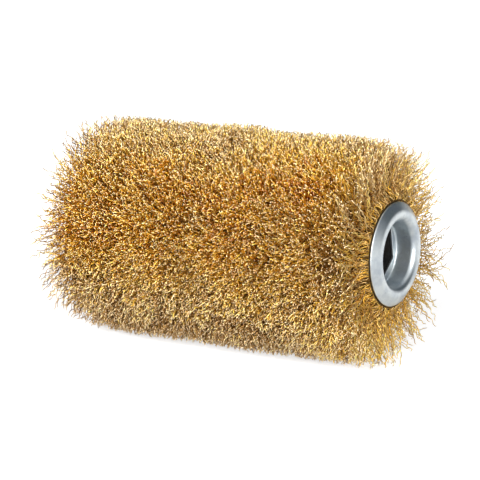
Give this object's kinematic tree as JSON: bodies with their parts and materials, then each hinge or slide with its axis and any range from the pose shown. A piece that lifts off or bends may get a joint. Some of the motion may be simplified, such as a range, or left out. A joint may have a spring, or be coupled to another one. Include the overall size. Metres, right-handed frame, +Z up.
{
  "type": "wire drum brush",
  "caption": "Wide roller of crimped brass-coated wire on a steel core, with pressed flanged end cups and a hexagonal drive hole.",
  "frame": {"origin": "centre of the drum, on its axis and midway between the crests of its two rolled lips", "axes": "+X along the drum's axis towards the flange that is named right, +Z up, as the drum lies on its wires"},
  "size_m": [0.207, 0.1268, 0.1262],
  "materials": {
    "zinc_plated_pressing": "bright zinc plate on pressed steel",
    "bare_steel": "bare mild steel, lightly oiled",
    "hoop_wire": "drawn steel wire",
    "brass_coated_wire": "crimped steel wire, coated with brass"
  },
  "bodies": {
    "root": {"core_tube": "bare_steel", "end_cup_left": "zinc_plated_pressing", "end_cup_right": "zinc_plated_pressing", "drive_plate_left": "bare_steel", "drive_plate_right": "bare_steel", "end_spacer_left": "bare_steel", "end_spacer_right": "bare_steel", "spacer_1_2": "bare_steel", "spacer_2_3": "bare_steel", "spacer_3_4": "bare_steel", "ring_1_plate_left": "bare_steel", "ring_1_plate_right": "bare_steel", "ring_2_plate_left": "bare_steel", "ring_2_plate_right": "bare_steel", "ring_3_plate_left": "bare_steel", "ring_3_plate_right": "bare_steel", "ring_4_plate_left": "bare_steel", "ring_4_plate_right": "bare_steel", "ring_1_hoop": "hoop_wire", "ring_2_hoop": "hoop_wire", "ring_3_hoop": "hoop_wire", "ring_4_hoop": "hoop_wire", "ring_1_wire_fill": "brass_coated_wire", "ring_2_wire_fill": "brass_coated_wire", "ring_3_wire_fill": "brass_coated_wire", "ring_4_wire_fill": "brass_coated_wire"}
  },
  "joints": []
}
